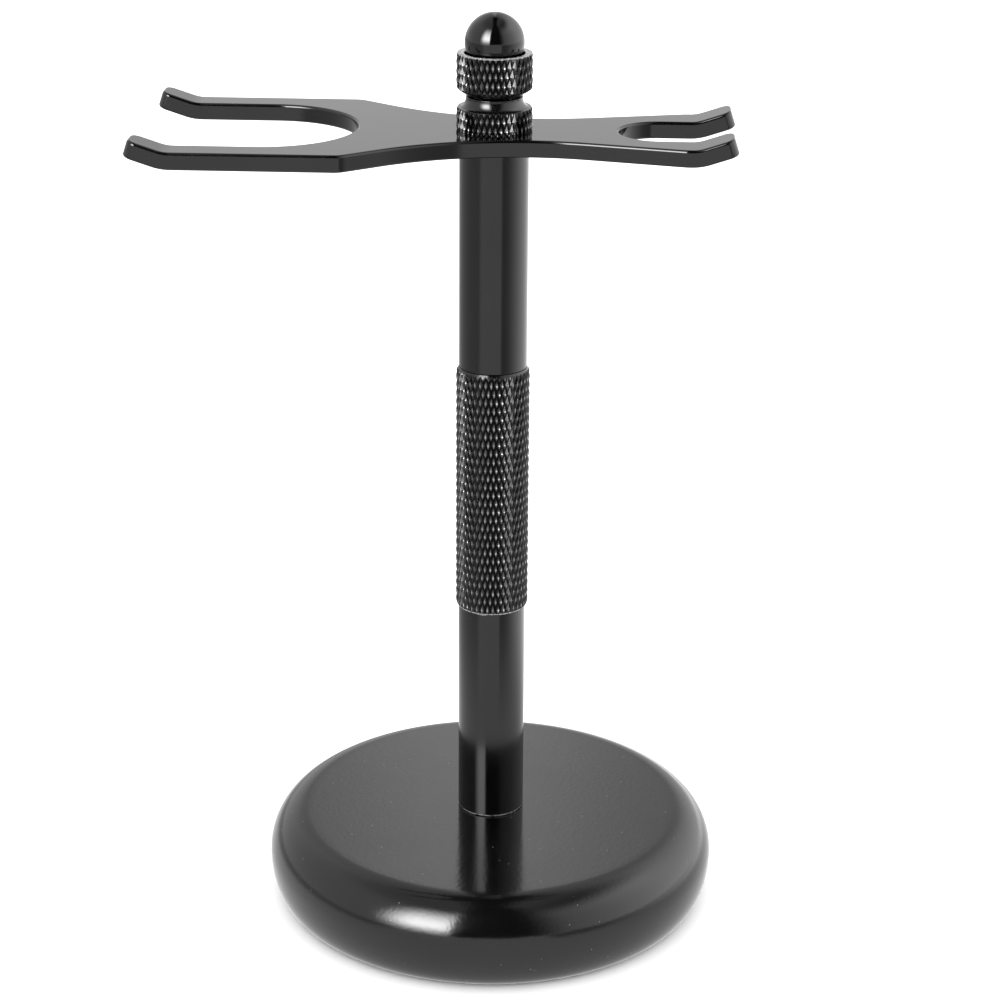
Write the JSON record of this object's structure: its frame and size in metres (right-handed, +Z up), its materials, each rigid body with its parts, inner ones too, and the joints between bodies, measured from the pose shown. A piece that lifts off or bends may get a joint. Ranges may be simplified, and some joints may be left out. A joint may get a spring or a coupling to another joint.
{
  "type": "razor stand",
  "caption": "Free-standing shaving stand: round weighted base, slim post with a knurled grip, and a forked plate with a wide brush slot and a narrow razor slot under a ball finial.",
  "frame": {"origin": "middle of the pad's underside, on the post's axis, at the level of the table", "axes": "+Z up the post, +X towards the razor slot, -X towards the brush slot, XZ is the plane of symmetry"},
  "size_m": [0.0848, 0.0684, 0.1374],
  "materials": {
    "base_enamel": "gloss black enamel with a faint orange peel",
    "plate_enamel": "smooth gloss black enamel",
    "tube_satin": "satin black coating",
    "knurled_black": "satin black coating over a diamond knurl",
    "ball_gloss": "high gloss black",
    "zinc_steel": "zinc plated steel",
    "insert_brass": "machined brass",
    "washer_nylon": "natural nylon",
    "pad_rubber": "matt black non-slip rubber"
  },
  "bodies": {
    "post": {"base_weight": "base_enamel", "base_pad": "pad_rubber", "base_screw": "zinc_steel", "base_flat_washer": "zinc_steel", "base_lock_washer": "zinc_steel", "lower_tube": "tube_satin", "lower_tube_bottom_insert": "insert_brass", "lower_tube_top_insert": "insert_brass", "grip_lower_stud": "zinc_steel", "grip_sleeve": "knurled_black", "grip_upper_stud": "zinc_steel", "upper_tube": "tube_satin", "upper_tube_bottom_insert": "insert_brass", "upper_tube_top_insert": "insert_brass", "fork_stud": "zinc_steel", "fork_washer": "washer_nylon"},
    "fork": {"fork_plate": "plate_enamel"},
    "finial_cap": {"finial_ball": "ball_gloss"},
    "finial_nut": {"finial_collar": "knurled_black", "finial_ring": "knurled_black"}
  },
  "joints": [
    {"name": "fork_swivel", "type": "hinge", "parent": "post", "child": "fork", "pos_m": [0, 0, 0.11955], "axis": [0, 0, 1], "continuous": true},
    {"name": "finial_lift", "type": "slide", "parent": "post", "child": "finial_cap", "axis": [0, 0, 1], "range_m": [0, 0.004]},
    {"name": "finial_turn", "type": "hinge", "parent": "finial_cap", "child": "finial_nut", "pos_m": [0, 0, 0.1237], "axis": [0, 0, 1], "range_deg": [0, 1800]}
  ],
  "couplings": [
    {"joint": "finial_lift", "follows": "finial_turn", "m_per_rad": 0.00012732}
  ]
}
